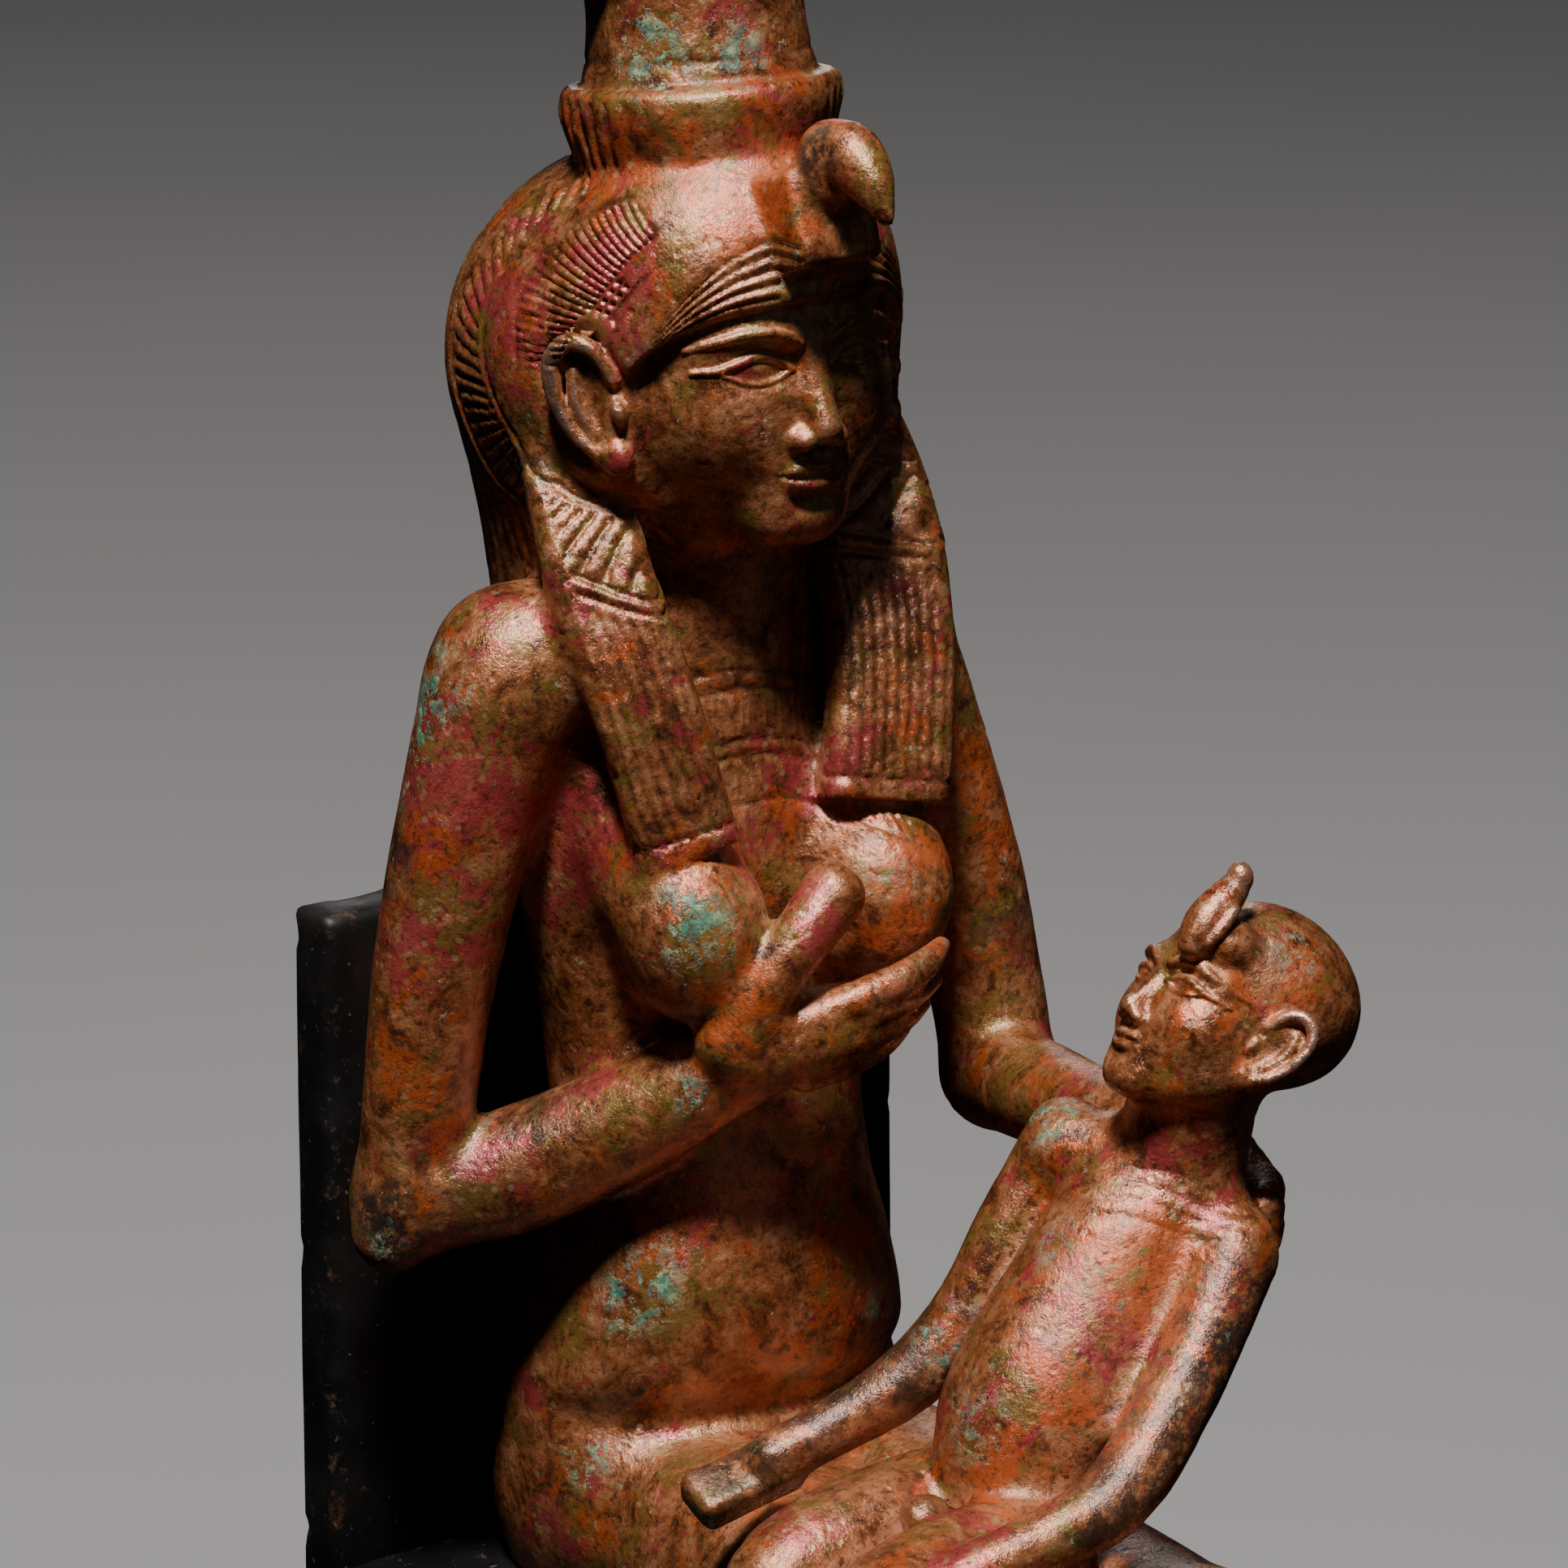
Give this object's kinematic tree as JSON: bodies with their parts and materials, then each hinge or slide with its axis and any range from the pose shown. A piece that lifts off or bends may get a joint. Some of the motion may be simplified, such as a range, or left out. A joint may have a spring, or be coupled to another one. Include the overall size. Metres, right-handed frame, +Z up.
{
  "type": "isis and horus figure",
  "caption": "Small bronze seated goddess nursing a child, with a tall horned crown, on a dark wooden throne with a back board and a low base.",
  "frame": {"origin": "centre of the foot board's underside", "axes": "+Z up; the figure faces -Y, with its right hand towards -X"},
  "size_m": [0.054, 0.093, 0.1973],
  "materials": {
    "bronze": "worn brown bronze with red and green patina",
    "throne_wood": "worn black paint, satin"
  },
  "bodies": {
    "root": {"isis_and_horus_bronze": "bronze", "throne_back_board": "throne_wood", "throne_seat_block": "throne_wood", "throne_foot_board": "throne_wood"}
  },
  "joints": []
}
